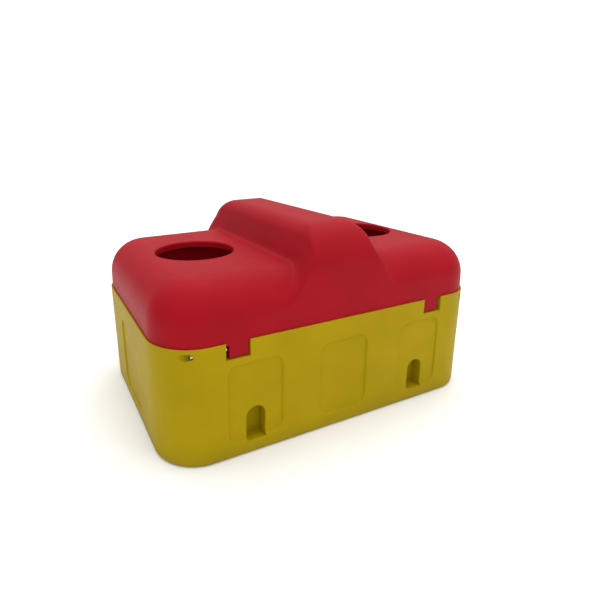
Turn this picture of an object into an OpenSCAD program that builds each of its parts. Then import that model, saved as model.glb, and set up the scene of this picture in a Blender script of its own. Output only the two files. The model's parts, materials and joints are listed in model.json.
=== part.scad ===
// Insulated two-place ball drinker for cattle, sheep and horses.
// Yellow double-wall body with a foam core, red lift-off lid with a centre ridge,
// two float balls that close the drinking holes, and a float valve under the ridge.
// Units are millimetres. X runs along the trough, the front is on -Y and Z is up.

/* [Body] */
// overall length over the rim
trough_length = 1150; // [1100:10:1250]
// overall width over the rim
trough_width = 780; // [740:10:860]
// height of the rim above the floor
rim_height = 360; // [350:5:380]
// corner radius in plan at the rim
corner_radius = 140; // [130:5:160]
// how far the foot is pulled in on each side by the mould draft
draft_inset = 4; // [2:0.5:8]
// thickness of the moulded skins
wall = 6; // [5:0.5:8]
// radius of the bottom edge
foot_radius = 12; // [8:1:16]

/* [Lid] */
// height of the flat lid top
lid_top = 526; // [510:2:540]
// radius of the lid's long top edge
lid_edge_radius = 115; // [90:5:120]
// step from the rim's outer face to the lid
lid_step = 5; // [4:0.5:8]
// height of the ridge above the lid top
ridge_rise = 114; // [90:2:130]
// half width of the ridge's flat crest
ridge_crest = 46; // [30:1:50]
// radius of the ridge's shoulders
ridge_shoulder = 60; // [50:2:70]
// radius over each end of the ridge
ridge_end = 120; // [105:5:130]

/* [Drinking places] */
// distance from the middle to each hole
hole_offset = 334; // [325:1:345]
// radius of each drinking hole
hole_radius = 130; // [120:1:138]
// radius of the float balls
ball_radius = 145; // [140:1:150]
// radius of the ball wells
well_radius = 165; // [160:1:170]
// height of the bowl's floor
bowl_floor = 90; // [70:5:100]

/* [Anchors and panels] */
// distance from the middle to each anchor pocket
pocket_offset = 302; // [290:2:310]
// width of an anchor pocket
pocket_width = 60; // [50:2:70]
// anchor hole diameter
anchor_hole = 14; // [11:0.5:18]
// depth of the pressed panels
panel_depth = 5; // [3:0.5:6]
// width of a long-side panel
panel_width = 174; // [150:2:180]

/* [Lid locking] */
// distance from the middle to each tab's centre
tab_offset = 351; // [345:1:356]
// width of a tab
tab_width = 60; // [50:1:60]
// locking pin diameter
pin_diameter = 12; // [10:0.5:12]

/* [Hidden] */
$fn = 96;

half_l = trough_length / 2;
half_w = trough_width / 2;
axis_x = half_l - corner_radius;
axis_y = half_w - corner_radius;
deck = rim_height - 8;
tilt = atan(draft_inset / rim_height);
foam_gap = 0.5;

lid_foot = deck + 0.3;
lid_r = corner_radius - lid_step;
edge_z = lid_top - lid_edge_radius;
ridge_top = lid_top + ridge_rise;
ridge_lean = 20;

pocket_floor = 42;
pocket_spring = 116;
pocket_back = half_w - 50;
anchor_y = half_w - 26;
panel_low = 48;
panel_high = 290;
panel_corner = 32;
side_panel_width = 220;

pin_r = pin_diameter / 2;
pin_y = half_w - 17;
pin_z = rim_height - 22;
pin_length = 105;
tab_foot = rim_height - 46;
tab_in = tab_offset - tab_width / 2;
tab_out = tab_offset + tab_width / 2;
notch_in = tab_in - 2;
notch_out = tab_out + 10.5;
bore_end = tab_in - 16;
pin_tip = tab_out + 2;
mouth_x = pin_tip + pin_length + 1;

bay_x = 200;
bay_y = 140;
bay_r = 40;
chamber_top = 470;
throat_foot = lid_top - 22;

riser_y = 88;
valve_z = 400;
pivot_y = 24;
pivot_z = 378;
heel = 18;
heel_lean = 19;
arm_drop = 33;
drain_z = 118;
drain_seat = half_l - 30;
fill_y = 280;
lid_fill_y = -230;

// quarter disc in the first quadrant
module quarter(r) {
    intersection() {
        circle(r);
        square(r);
    }
}

// rounded rectangle about the origin, given by its corner centres
module rounded(cx, cy, r) {
    square([2 * cx + 2 * r, 2 * cy], center = true);
    square([2 * cx, 2 * cy + 2 * r], center = true);
    for (sx = [-1, 1])
        for (sy = [-1, 1])
            translate([sx * cx, sy * cy])
                circle(r);
}

// carries an outward profile (radius, height) round four corner axes
module swept(cx, cy, z0, z1) {
    for (sx = [-1, 1])
        for (sy = [-1, 1])
            translate([sx * cx, sy * cy, 0])
                rotate([0, 0, sx > 0 ? (sy > 0 ? 0 : 270) : (sy > 0 ? 90 : 180)])
                    rotate_extrude(angle = 90)
                        children();
    for (s = [-1, 1])
        translate([0, s * cy, 0])
            rotate([90, 0, s * 90])
                linear_extrude(2 * cx, center = true)
                    children();
    for (s = [-1, 1])
        translate([s * cx, 0, 0])
            rotate([90, 0, s > 0 ? 0 : 180])
                linear_extrude(2 * cy, center = true)
                    children();
    translate([-cx, -cy, z0])
        cube([2 * cx, 2 * cy, z1 - z0]);
}

// outward profile with a rounded foot
module footed(r0, r1, z0, z1, foot) {
    polygon([[0, z0], [r0 - foot, z0], [r0 - foot, z0 + foot], [r0, z0 + foot], [r1, z1], [0, z1]]);
    translate([r0 - foot, z0 + foot])
        mirror([0, 1])
            quarter(foot);
}

// both ends of the trough, each with both sides
module at_four_corners() {
    for (sx = [0, 1])
        for (sy = [0, 1])
            mirror([sx, 0, 0])
                mirror([0, sy, 0])
                    children();
}

module along_x(x0, x1, y, z, r) {
    translate([x0, y, z])
        rotate([0, 90, 0])
            cylinder(r = r, h = x1 - x0);
}

module along_y(y0, y1, x, z, r) {
    translate([x, y1, z])
        rotate([90, 0, 0])
            cylinder(r = r, h = y1 - y0);
}

module ring(r0, r1, z0, z1) {
    difference() {
        translate([0, 0, z0])
            cylinder(r = r1, h = z1 - z0);
        translate([0, 0, z0 - 1])
            cylinder(r = r0, h = z1 - z0 + 2);
    }
}

module hex_nut(r0, r1, z0, z1) {
    difference() {
        translate([0, 0, z0])
            linear_extrude(z1 - z0)
                circle(r1, $fn = 6);
        translate([0, 0, z0 - 1])
            cylinder(r = r0, h = z1 - z0 + 2);
    }
}

// ---- lower body ----

module body_block(inset, z0, z1, foot) {
    swept(axis_x, axis_y, z0, z1)
        footed(corner_radius - draft_inset - inset, corner_radius - inset, z0, z1, foot);
}

// water space, grown by g on every side
module bowl(g) {
    for (s = [-1, 1])
        translate([s * hole_offset, 0, 0])
            rotate_extrude()
                footed(well_radius + g, well_radius + g, bowl_floor - g, rim_height + 1, 50 + g);
    swept(bay_x - bay_r, bay_y - bay_r, bowl_floor - g, rim_height + 1)
        footed(bay_r + g, bay_r + g, bowl_floor - g, rim_height + 1, 25 + g);
}

// one pressed panel on the face that looks along -Y
module panel(half, x, w, g) {
    high = panel_high - panel_low;
    translate([x, -(half - draft_inset - panel_depth - g), 0])
        rotate([tilt, 0, 0])
            translate([0, 0, (panel_low + panel_high) / 2])
                rotate([90, 0, 0])
                    linear_extrude(30)
                        rounded(w / 2 - panel_corner, high / 2 - panel_corner, panel_corner + g);
}

module panels(g) {
    for (a = [0, 180])
        rotate([0, 0, a])
            for (x = [-pocket_offset, 0, pocket_offset])
                panel(half_w, x, panel_width, g);
    for (a = [90, 270])
        rotate([0, 0, a])
            panel(half_l, 0, side_panel_width, g);
}

// arched pocket with a flat floor, and the anchor hole under it
module pocket(g) {
    translate([pocket_offset, half_w + 10, 0])
        rotate([90, 0, 0])
            linear_extrude(half_w + 10 - pocket_back + g) {
                translate([-pocket_width / 2 - g, pocket_floor - g])
                    square([pocket_width + 2 * g, pocket_spring - pocket_floor + g]);
                translate([0, pocket_spring])
                    circle(pocket_width / 2 + g);
            }
    translate([pocket_offset, anchor_y, -1])
        cylinder(d = anchor_hole + 2 * g, h = pocket_floor + 2);
}

// rim notch for a lid tab with the locking pin's bore through it
module lock_way(g) {
    translate([notch_in - g, half_w - 32 - g, tab_foot - 3 - g])
        cube([notch_out - notch_in + 2 * g, 60, 80]);
    along_x(bore_end - g, half_l, pin_y, pin_z, pin_r + 0.08 + g);
    along_x(mouth_x - g, half_l, pin_y, pin_z, pin_r + 3.5 + g);
}

module supply_way(g) {
    translate([0, riser_y, -1])
        cylinder(r = 34 + g, h = 35 + g);
    translate([0, riser_y, -1])
        cylinder(r = 13.3 + g, h = bowl_floor + 2);
}

module drain_way(g) {
    along_x(drain_seat - g, half_l + 10, 0, drain_z, 46 + g);
    along_x(half_l - 95, drain_seat, 0, drain_z, 29 + g);
}

// space for the foam core
module body_core(g) {
    skin = wall + g;
    difference() {
        body_block(skin, skin, deck - skin, 8);
        bowl(skin);
        panels(skin);
        at_four_corners() {
            pocket(skin);
            lock_way(skin);
        }
        supply_way(skin);
        drain_way(skin);
        for (s = [-1, 1])
            translate([0, s * fill_y, 0])
                cylinder(r = 34 + g, h = 12 + g);
        translate([-32 - g, bay_y, 284 - g])
            cube([64 + 2 * g, 16 + g, 32 + 2 * g]);
    }
}

module base_shell() {
    color("#a3900f")
        difference() {
            body_block(0, 0, rim_height, foot_radius);
            translate([0, 0, deck])
                linear_extrude(20)
                    rounded(axis_x, axis_y, lid_r + 0.5);
            bowl(0);
            panels(0);
            at_four_corners() {
                pocket(0);
                lock_way(0);
            }
            supply_way(0);
            drain_way(0);
            body_core(0);
            for (s = [-1, 1])
                translate([0, s * fill_y, -1]) {
                    cylinder(r = 26, h = 4);
                    cylinder(r = 20, h = 14);
                }
            for (s = [-1, 1])
                along_y(bay_y - 1, bay_y + 12, s * 20, 300, 2.5);
        }
}

module base_foam() {
    color("#d9c68a")
        body_core(foam_gap);
}

module fill_plug() {
    difference() {
        union() {
            translate([0, 0, 0.3])
                cylinder(r = 25.5, h = 2.7);
            translate([0, 0, 3])
                cylinder(r = 19.8, h = 9);
        }
        translate([0, 0, -1])
            cylinder(r = 13, h = 10);
    }
}

module foam_plug_front() {
    color("#26282a")
        translate([0, -fill_y, 0])
            fill_plug();
}

module foam_plug_rear() {
    color("#26282a")
        translate([0, fill_y, 0])
            fill_plug();
}

// ---- lid ----

// outward profile of the lid's rim and long top edge
module lid_edge(inset) {
    r1 = lid_r - inset;
    r2 = lid_r - 1 - inset;
    er = lid_edge_radius - inset;
    z0 = lid_foot + inset;
    polygon([[0, z0], [r1, z0], [r2, edge_z], [r2 - er, edge_z], [r2 - er, edge_z + er], [0, edge_z + er]]);
    translate([r2 - er, edge_z])
        quarter(er);
}

// ridge across the trough: straight flanks running into two round shoulders
module ridge_section(inset) {
    outer_r = inset > 0 ? ridge_shoulder + 2 : ridge_shoulder;
    r = outer_r - inset;
    cz = ridge_top - outer_r;
    tx = ridge_crest + r * cos(ridge_lean);
    tz = cz + r * sin(ridge_lean);
    z0 = edge_z + 9;
    bx = tx + (tz - z0) * tan(ridge_lean);
    polygon([[-bx, z0], [bx, z0], [tx, tz], [ridge_crest, cz + r], [-ridge_crest, cz + r], [-tx, tz]]);
    for (s = [-1, 1])
        translate([s * ridge_crest, cz])
            circle(r);
}

// ridge seen from the side, with both ends rounded over
module ridge_side(inset) {
    r = ridge_end - inset;
    y1 = half_w - lid_step - 6 - inset - (inset > 0 ? 12 : 0);
    z0 = edge_z + 9;
    z1 = ridge_top - inset;
    polygon([[-y1, z0], [y1, z0], [y1, z1 - r], [y1 - r, z1], [r - y1, z1], [-y1, z1 - r]]);
    for (s = [-1, 1])
        translate([s * (y1 - r), z1 - r])
            circle(r);
}

module lid_block(inset) {
    swept(axis_x, axis_y, lid_foot + inset, lid_top - inset)
        lid_edge(inset);
    intersection() {
        rotate([90, 0, 0])
            linear_extrude(trough_width + 20, center = true)
                ridge_section(inset);
        rotate([90, 0, 90])
            linear_extrude(600, center = true)
                ridge_side(inset);
    }
}

// air space over the water, open downward, with the two drinking throats
module lid_chamber(g) {
    for (s = [-1, 1])
        translate([s * hole_offset, 0, 0])
            rotate_extrude()
                polygon([[0, deck - 2], [well_radius + 3 + g, deck - 2], [well_radius + 3 + g, chamber_top],
                    [hole_radius + 20 + g, chamber_top + 30], [hole_radius + 20 + g, throat_foot + g],
                    [hole_radius + g, throat_foot + g], [hole_radius + g, lid_top + 5], [0, lid_top + 5]]);
    translate([0, 0, deck - 2])
        linear_extrude(chamber_top - deck + g)
            rounded(bay_x - bay_r, bay_y - bay_r, bay_r + g);
    translate([0, 0, deck - 2])
        linear_extrude(ridge_top - 50 - deck + g)
            rounded(52, 98, 20 + g);
}

// softened upper edge of a drinking hole
module throat_lip() {
    rotate_extrude()
        difference() {
            translate([hole_radius - 1, lid_top - 6])
                square([7, 8]);
            translate([hole_radius + 6, lid_top - 6])
                circle(6);
        }
}

module gasket_ring(g, z1) {
    translate([0, 0, lid_foot - (g > 0 ? 1 : 0)])
        linear_extrude(z1 - lid_foot + (g > 0 ? 1 : 0))
            difference() {
                rounded(axis_x, axis_y, corner_radius - 44 + g);
                rounded(axis_x, axis_y, corner_radius - 56 - g);
            }
}

module lid_core(g) {
    skin = wall + g;
    difference() {
        lid_block(skin);
        lid_chamber(skin);
        gasket_ring(skin, lid_foot + 4 + skin);
        translate([0, lid_fill_y, lid_foot])
            cylinder(r = 34 + g, h = 12 + g);
    }
}

module lid_shell() {
    color("#a3202c")
        difference() {
            union() {
                lid_block(0);
                at_four_corners()
                    translate([tab_in, half_w - 29, tab_foot])
                        cube([tab_width, 23.7, 52]);
            }
            lid_core(0);
            lid_chamber(0);
            for (s = [-1, 1])
                translate([s * hole_offset, 0, 0])
                    throat_lip();
            at_four_corners()
                along_x(tab_in - 2, tab_out + 2, pin_y, pin_z, pin_r + 0.5);
            gasket_ring(0.001, lid_foot + 4);
            translate([0, lid_fill_y, lid_foot - 1]) {
                cylinder(r = 26, h = 4);
                cylinder(r = 20, h = 14);
            }
        }
}

module lid_foam() {
    color("#d9c68a")
        lid_core(foam_gap);
}

module lid_gasket() {
    color("#1d1f20")
        gasket_ring(0, lid_foot + 4);
}

module lid_fill_plug() {
    color("#26282a")
        translate([0, lid_fill_y, lid_foot])
            fill_plug();
}

// ---- float balls ----

ball_z = bowl_floor + ball_radius + 0.3;

module float_ball() {
    difference() {
        sphere(ball_radius);
        sphere(ball_radius - 5);
        translate([0, 0, ball_radius - 12])
            cylinder(r = 8, h = 20);
    }
}

module ball_plug() {
    intersection() {
        sphere(ball_radius + 0.4);
        translate([0, 0, ball_radius - 9])
            cylinder(r = 7.9, h = 12);
    }
}

module float_ball_left() {
    color("#a3202c")
        translate([-hole_offset, 0, ball_z])
            float_ball();
}

module float_ball_right() {
    color("#a3202c")
        translate([hole_offset, 0, ball_z])
            float_ball();
}

module ball_plug_left() {
    color("#26282a")
        translate([-hole_offset, 0, ball_z])
            ball_plug();
}

module ball_plug_right() {
    color("#26282a")
        translate([hole_offset, 0, ball_z])
            ball_plug();
}

// ---- locking pins, shown drawn back just clear of the tabs ----

module lock_pin() {
    difference() {
        union() {
            along_x(pin_tip + 2, pin_tip + pin_length, pin_y, pin_z, pin_r);
            translate([pin_tip, pin_y, pin_z])
                rotate([0, 90, 0])
                    cylinder(r1 = pin_r - 1.5, r2 = pin_r, h = 2);
        }
        along_x(pin_tip + pin_length - 18, pin_tip + pin_length + 1, pin_y, pin_z, 2.5);
    }
}

module lock_pin_fl() {
    color("#b8bcc0")
        mirror([1, 0, 0])
            mirror([0, 1, 0])
                lock_pin();
}

module lock_pin_fr() {
    color("#b8bcc0")
        mirror([0, 1, 0])
            lock_pin();
}

module lock_pin_rl() {
    color("#b8bcc0")
        mirror([1, 0, 0])
            lock_pin();
}

module lock_pin_rr() {
    color("#b8bcc0")
        lock_pin();
}

// ---- water supply ----

module floor_gland() {
    color("#b98f3e")
        translate([0, riser_y, 0])
            difference() {
                union() {
                    translate([0, 0, 4])
                        cylinder(r = 12.8, h = 18);
                    translate([0, 0, 21.5])
                        cylinder(r = 13, h = bowl_floor - 3.5);
                    translate([0, 0, bowl_floor + 2.5])
                        linear_extrude(7.5)
                            circle(24, $fn = 6);
                }
                translate([0, 0, 3])
                    cylinder(r = 8, h = bowl_floor + 20);
            }
}

module gland_seal() {
    color("#1d1f20")
        translate([0, riser_y, 0])
            ring(13, 26, bowl_floor, bowl_floor + 2.5);
}

module gland_washer() {
    color("#d7d6cf")
        translate([0, riser_y, 0])
            ring(13.2, 29, 31.5, 34);
}

module gland_nut() {
    color("#b98f3e")
        translate([0, riser_y, 0])
            hex_nut(13, 23, 21.5, 31.5);
}

module riser_pipe() {
    color("#b8bcc0")
        translate([0, riser_y, 0])
            ring(8, 10, bowl_floor + 18, valve_z - 21);
}

module riser_nut() {
    color("#b98f3e")
        translate([0, riser_y, 0])
            difference() {
                translate([0, 0, bowl_floor + 11])
                    linear_extrude(21)
                        circle(20, $fn = 6);
                translate([0, 0, bowl_floor + 10])
                    cylinder(r = 13, h = 8);
                translate([0, 0, bowl_floor + 10])
                    cylinder(r = 10, h = 30);
            }
}

module valve_tail_nut() {
    color("#b98f3e")
        translate([0, riser_y, 0])
            hex_nut(10, 18, valve_z - 44, valve_z - 24);
}

module riser_clamp() {
    color("#b8bcc0")
        difference() {
            union() {
                translate([0, riser_y, 290])
                    cylinder(r = 12.5, h = 20);
                translate([-2, riser_y + 10, 290])
                    cube([4, bay_y - riser_y - 11, 20]);
                translate([-28, bay_y - 3, 288])
                    cube([56, 3, 24]);
            }
            translate([0, riser_y, 280])
                cylinder(r = 10, h = 40);
            for (s = [-1, 1])
                along_y(bay_y - 5, bay_y + 1, s * 20, 300, 2.5);
        }
}

module clamp_screws() {
    color("#b8bcc0")
        for (s = [-1, 1]) {
            along_y(bay_y - 4, bay_y + 11, s * 20, 300, 2.5);
            difference() {
                along_y(bay_y - 6.5, bay_y - 3, s * 20, 300, 5);
                translate([s * 20 - 0.6, bay_y - 7, 296])
                    cube([1.2, 2, 8]);
            }
        }
}

// ---- float valve ----

module valve_body() {
    color("#b98f3e")
        difference() {
            union() {
                along_y(8, riser_y + 16, 0, valve_z, 15);
                translate([0, riser_y, valve_z - 24])
                    cylinder(r = 13, h = 24);
                translate([0, 50, valve_z - 52])
                    cylinder(r = 9, h = 46);
                for (s = [-1, 1])
                    translate([s * 7.2 - 2, pivot_y - 10, pivot_z - 8])
                        cube([4, 20, 20]);
            }
            along_y(7, 80, 0, valve_z, 10);
            along_y(79, riser_y + 8, 0, valve_z, 7);
            translate([0, riser_y, valve_z - 25])
                cylinder(r = 7, h = 25);
            translate([0, riser_y, valve_z - 25])
                cylinder(r = 10, h = 4);
            translate([0, 50, valve_z - 53])
                cylinder(r = 6, h = 53);
            translate([-5.2, 6, pivot_z - 10])
                cube([10.4, 34, valve_z - pivot_z + 10]);
            along_x(-12, 12, pivot_y, pivot_z, 3);
        }
}

module valve_nozzle() {
    color("#d7d6cf")
        difference() {
            along_y(72, 80, 0, valve_z, 10);
            along_y(71, 81, 0, valve_z, 3.5);
        }
}

heel_y = pivot_y - heel * sin(heel_lean);

module valve_plunger() {
    color("#b98f3e")
        difference() {
            along_y(9, 57, 0, valve_z, 9.95);
            translate([-5, heel_y - 5.2, valve_z - 15])
                cube([10, 10.4, 15]);
        }
}

module valve_washer() {
    color("#1d1f20")
        along_y(57, 60, 0, valve_z, 8);
}

module lever_pin() {
    color("#b8bcc0") {
        along_x(-11, 11, pivot_y, pivot_z, 3);
        along_x(11, 13, pivot_y, pivot_z, 4.5);
    }
}

// frame of the lever: its -Y axis runs along the hanging arm
module on_lever() {
    translate([0, pivot_y, pivot_z])
        rotate([arm_drop, 0, 0])
            children();
}

module lever_arm() {
    color("#b98f3e")
        difference() {
            union() {
                along_x(-4.6, 4.6, pivot_y, pivot_z, 7);
                translate([0, pivot_y, pivot_z])
                    rotate([heel_lean, 0, 0]) {
                        translate([-4.3, -3, 0])
                            cube([8.6, 6, heel]);
                        along_x(-4.3, 4.3, 0, heel, 3);
                    }
                on_lever()
                    along_y(-143, -3, 0, 0, 4);
            }
            along_x(-12, 12, pivot_y, pivot_z, 3.05);
        }
}

module valve_float() {
    color("#e3dfd2")
        on_lever()
            rotate([90, 0, 0])
                rotate_extrude()
                    difference() {
                        union() {
                            translate([4, 72])
                                square([26, 62]);
                            translate([4, 78])
                                square([32, 50]);
                            translate([30, 78])
                                circle(6);
                            translate([30, 128])
                                circle(6);
                        }
                    }
}

module float_nuts() {
    color("#b8bcc0")
        on_lever()
            rotate([90, 0, 0]) {
                hex_nut(4, 7.5, 66, 72);
                hex_nut(4, 7.5, 134, 140);
            }
}

// ---- drain ----

module drain_bush() {
    color("#26282a")
        difference() {
            union() {
                along_x(half_l - 78, drain_seat, 0, drain_z, 29);
                along_x(drain_seat, drain_seat + 4, 0, drain_z, 38);
            }
            along_x(half_l - 90, drain_seat + 6, 0, drain_z, 24);
        }
}

module drain_plug() {
    color("#26282a") {
        difference() {
            along_x(half_l - 70, drain_seat + 15, 0, drain_z, 23.7);
            along_x(half_l - 72, drain_seat, 0, drain_z, 18);
        }
        along_x(drain_seat + 7.3, drain_seat + 15, 0, drain_z, 32);
        translate([drain_seat + 15, -27, drain_z - 4.5])
            cube([8, 54, 9]);
    }
}

module drain_seal() {
    color("#1d1f20")
        difference() {
            along_x(drain_seat + 4.3, drain_seat + 7.3, 0, drain_z, 31);
            along_x(drain_seat + 3, drain_seat + 9, 0, drain_z, 23.7);
        }
}

base_shell();
base_foam();
foam_plug_front();
foam_plug_rear();
lid_shell();
lid_foam();
lid_gasket();
lid_fill_plug();
float_ball_left();
float_ball_right();
ball_plug_left();
ball_plug_right();
lock_pin_fl();
lock_pin_fr();
lock_pin_rl();
lock_pin_rr();
floor_gland();
gland_seal();
gland_washer();
gland_nut();
riser_pipe();
riser_nut();
valve_tail_nut();
riser_clamp();
clamp_screws();
valve_body();
valve_nozzle();
valve_plunger();
valve_washer();
lever_pin();
lever_arm();
valve_float();
float_nuts();
drain_bush();
drain_plug();
drain_seal();
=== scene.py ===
import bpy
import bmesh
import json
import math
from mathutils import Matrix, Vector
from mathutils.geometry import delaunay_2d_cdt


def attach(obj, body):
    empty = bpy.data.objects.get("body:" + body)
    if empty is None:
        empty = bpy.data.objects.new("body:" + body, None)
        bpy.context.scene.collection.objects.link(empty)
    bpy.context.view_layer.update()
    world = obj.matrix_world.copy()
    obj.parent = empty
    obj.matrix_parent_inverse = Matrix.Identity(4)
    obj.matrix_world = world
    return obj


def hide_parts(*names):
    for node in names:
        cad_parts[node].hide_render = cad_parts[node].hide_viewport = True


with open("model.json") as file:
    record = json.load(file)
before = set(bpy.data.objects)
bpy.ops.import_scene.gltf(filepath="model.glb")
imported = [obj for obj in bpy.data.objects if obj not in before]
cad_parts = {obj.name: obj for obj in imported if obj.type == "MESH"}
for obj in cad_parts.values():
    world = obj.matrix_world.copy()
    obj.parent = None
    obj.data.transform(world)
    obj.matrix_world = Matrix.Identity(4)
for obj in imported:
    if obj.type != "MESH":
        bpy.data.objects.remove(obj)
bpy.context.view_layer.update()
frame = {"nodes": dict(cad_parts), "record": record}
nodes = frame["nodes"]
print("frame loaded,", len(nodes), "CAD nodes")

mm = 0.001


# small tools for mesh work, all in millimetres
class Shape:
    def __init__(self):
        self.points = []
        self.faces = []

    def add(self, points):
        start = len(self.points)
        self.points.extend(tuple(p) for p in points)
        return list(range(start, len(self.points)))

    def strip(self, a, b, closed=True):
        n = len(a)
        for i in range(n if closed else n - 1):
            k = (i + 1) % n
            self.faces.append((a[i], a[k], b[k], b[i]))

    def loops(self, rings, closed=True):
        ids = [self.add(ring) for ring in rings]
        for a, b in zip(ids, ids[1:]):
            self.strip(a, b, closed)
        return ids

    def mesh(self):
        bm = bmesh.new()
        verts = [bm.verts.new(p) for p in self.points]
        for face in self.faces:
            corners = [verts[i] for i in dict.fromkeys(face)]
            if len(corners) > 2:
                try:
                    bm.faces.new(corners)
                except ValueError:
                    pass
        tidyMesh(bm)
        bmesh.ops.recalc_face_normals(bm, faces=bm.faces)
        return bm


def tidyMesh(bm, gap=0.004):
    bmesh.ops.remove_doubles(bm, verts=bm.verts, dist=gap)
    bmesh.ops.dissolve_degenerate(bm, edges=bm.edges, dist=gap)
    loose = [v for v in bm.verts if not v.link_faces]
    bmesh.ops.delete(bm, geom=loose, context="VERTS")


def keepCadFaces(bm, node, wanted):
    # hidden inner faces come over from the CAD node as they are
    source = nodes[node].data
    copies = {}
    for polygon in source.polygons:
        points = [source.vertices[i].co * 1000 for i in polygon.vertices]
        centre = sum(points, Vector()) / len(points)
        if not wanted(centre, polygon.normal, points):
            continue
        corners = []
        for index, point in zip(polygon.vertices, points):
            key = (round(point.x, 3), round(point.y, 3), round(point.z, 3))
            if key not in copies:
                copies[key] = bm.verts.new(point)
            corners.append(copies[key])
        if len(set(corners)) == len(corners):
            try:
                bm.faces.new(corners)
            except ValueError:
                pass


def makePiece(name, bm, material, body, angle=38, replaced=()):
    for v in bm.verts:
        v.co *= mm
    data = bpy.data.meshes.new(name)
    bm.to_mesh(data)
    bm.free()
    data.materials.append(material)
    data.polygons.foreach_set("use_smooth", [True] * len(data.polygons))
    data.set_sharp_from_angle(angle=math.radians(angle))
    piece = bpy.data.objects.new(name, data)
    bpy.context.scene.collection.objects.link(piece)
    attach(piece, body)
    if replaced:
        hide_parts(*replaced)
    return piece


def insideLoop(p, loop):
    inside = False
    for (x0, y0), (x1, y1) in zip(loop, loop[1:] + loop[:1]):
        if (y0 > p[1]) != (y1 > p[1]) and p[0] < (x1 - x0) * (p[1] - y0) / (y1 - y0) + x0:
            inside = not inside
    return inside


def fillFlat(outer, rings, hole, lines=()):
    # triangles between an outer outline and a hole, through the given rings and lines
    points, edges = [], []
    for ring in [outer] + list(rings):
        start = len(points)
        points.extend(ring)
        edges.extend((start + i, start + (i + 1) % len(ring)) for i in range(len(ring)))
    for line in lines:
        start = len(points)
        points.extend(line)
        edges.extend((start + i, start + i + 1) for i in range(len(line) - 1))
    found = delaunay_2d_cdt([Vector(p) for p in points], edges, [], 0, 1e-4)
    flat, triangles = found[0], []
    for triangle in found[2]:
        centre = sum((flat[i] for i in triangle), Vector((0, 0))) / len(triangle)
        if insideLoop(centre, outer) and not (hole and insideLoop(centre, hole)):
            triangles.append(triangle)
    return [tuple(p) for p in flat], triangles


def stops(low, high, step, extra=(), gap=0.25):
    count = max(1, round((high - low) / step))
    fixed = sorted({round(v, 4) for v in list(extra) + [low, high] if low <= v <= high})
    values = list(fixed)
    for i in range(count + 1):
        v = low + (high - low) * i / count
        if min(abs(v - f) for f in fixed) > step * 0.45:
            values.append(v)
    values.sort()
    kept = [values[0]]
    for v in values[1:]:
        if v - kept[-1] > gap:
            kept.append(v)
    return kept


def arc(centre, radius, start, end, count):
    angles = [math.radians(start + (end - start) * i / count) for i in range(count + 1)]
    return [(centre[0] + radius * math.cos(a), centre[1] + radius * math.sin(a)) for a in angles]


# sRGB hex codes become the linear values the shaders work in
def hexLinear(code):
    values = [int(code[i:i + 2], 16) / 255 for i in (1, 3, 5)]
    return [v / 12.92 if v <= 0.04045 else ((v + 0.055) / 1.055) ** 2.4 for v in values] + [1]


def addNode(tree, kind, settings=None, links=None):
    node = tree.nodes.new(kind)
    for key, value in (settings or {}).items():
        if isinstance(key, str) and hasattr(node, key):
            setattr(node, key, value)
        else:
            node.inputs[key].default_value = value
    for key, source in (links or {}).items():
        tree.links.new(source, node.inputs[key])
    return node


def newMaterial(name):
    material = bpy.data.materials.new(name)
    material.use_nodes = True
    tree = material.node_tree
    tree.nodes.clear()
    output = addNode(tree, "ShaderNodeOutputMaterial")
    place = addNode(tree, "ShaderNodeTexCoord").outputs["Object"]
    return material, tree, output, place


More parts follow.
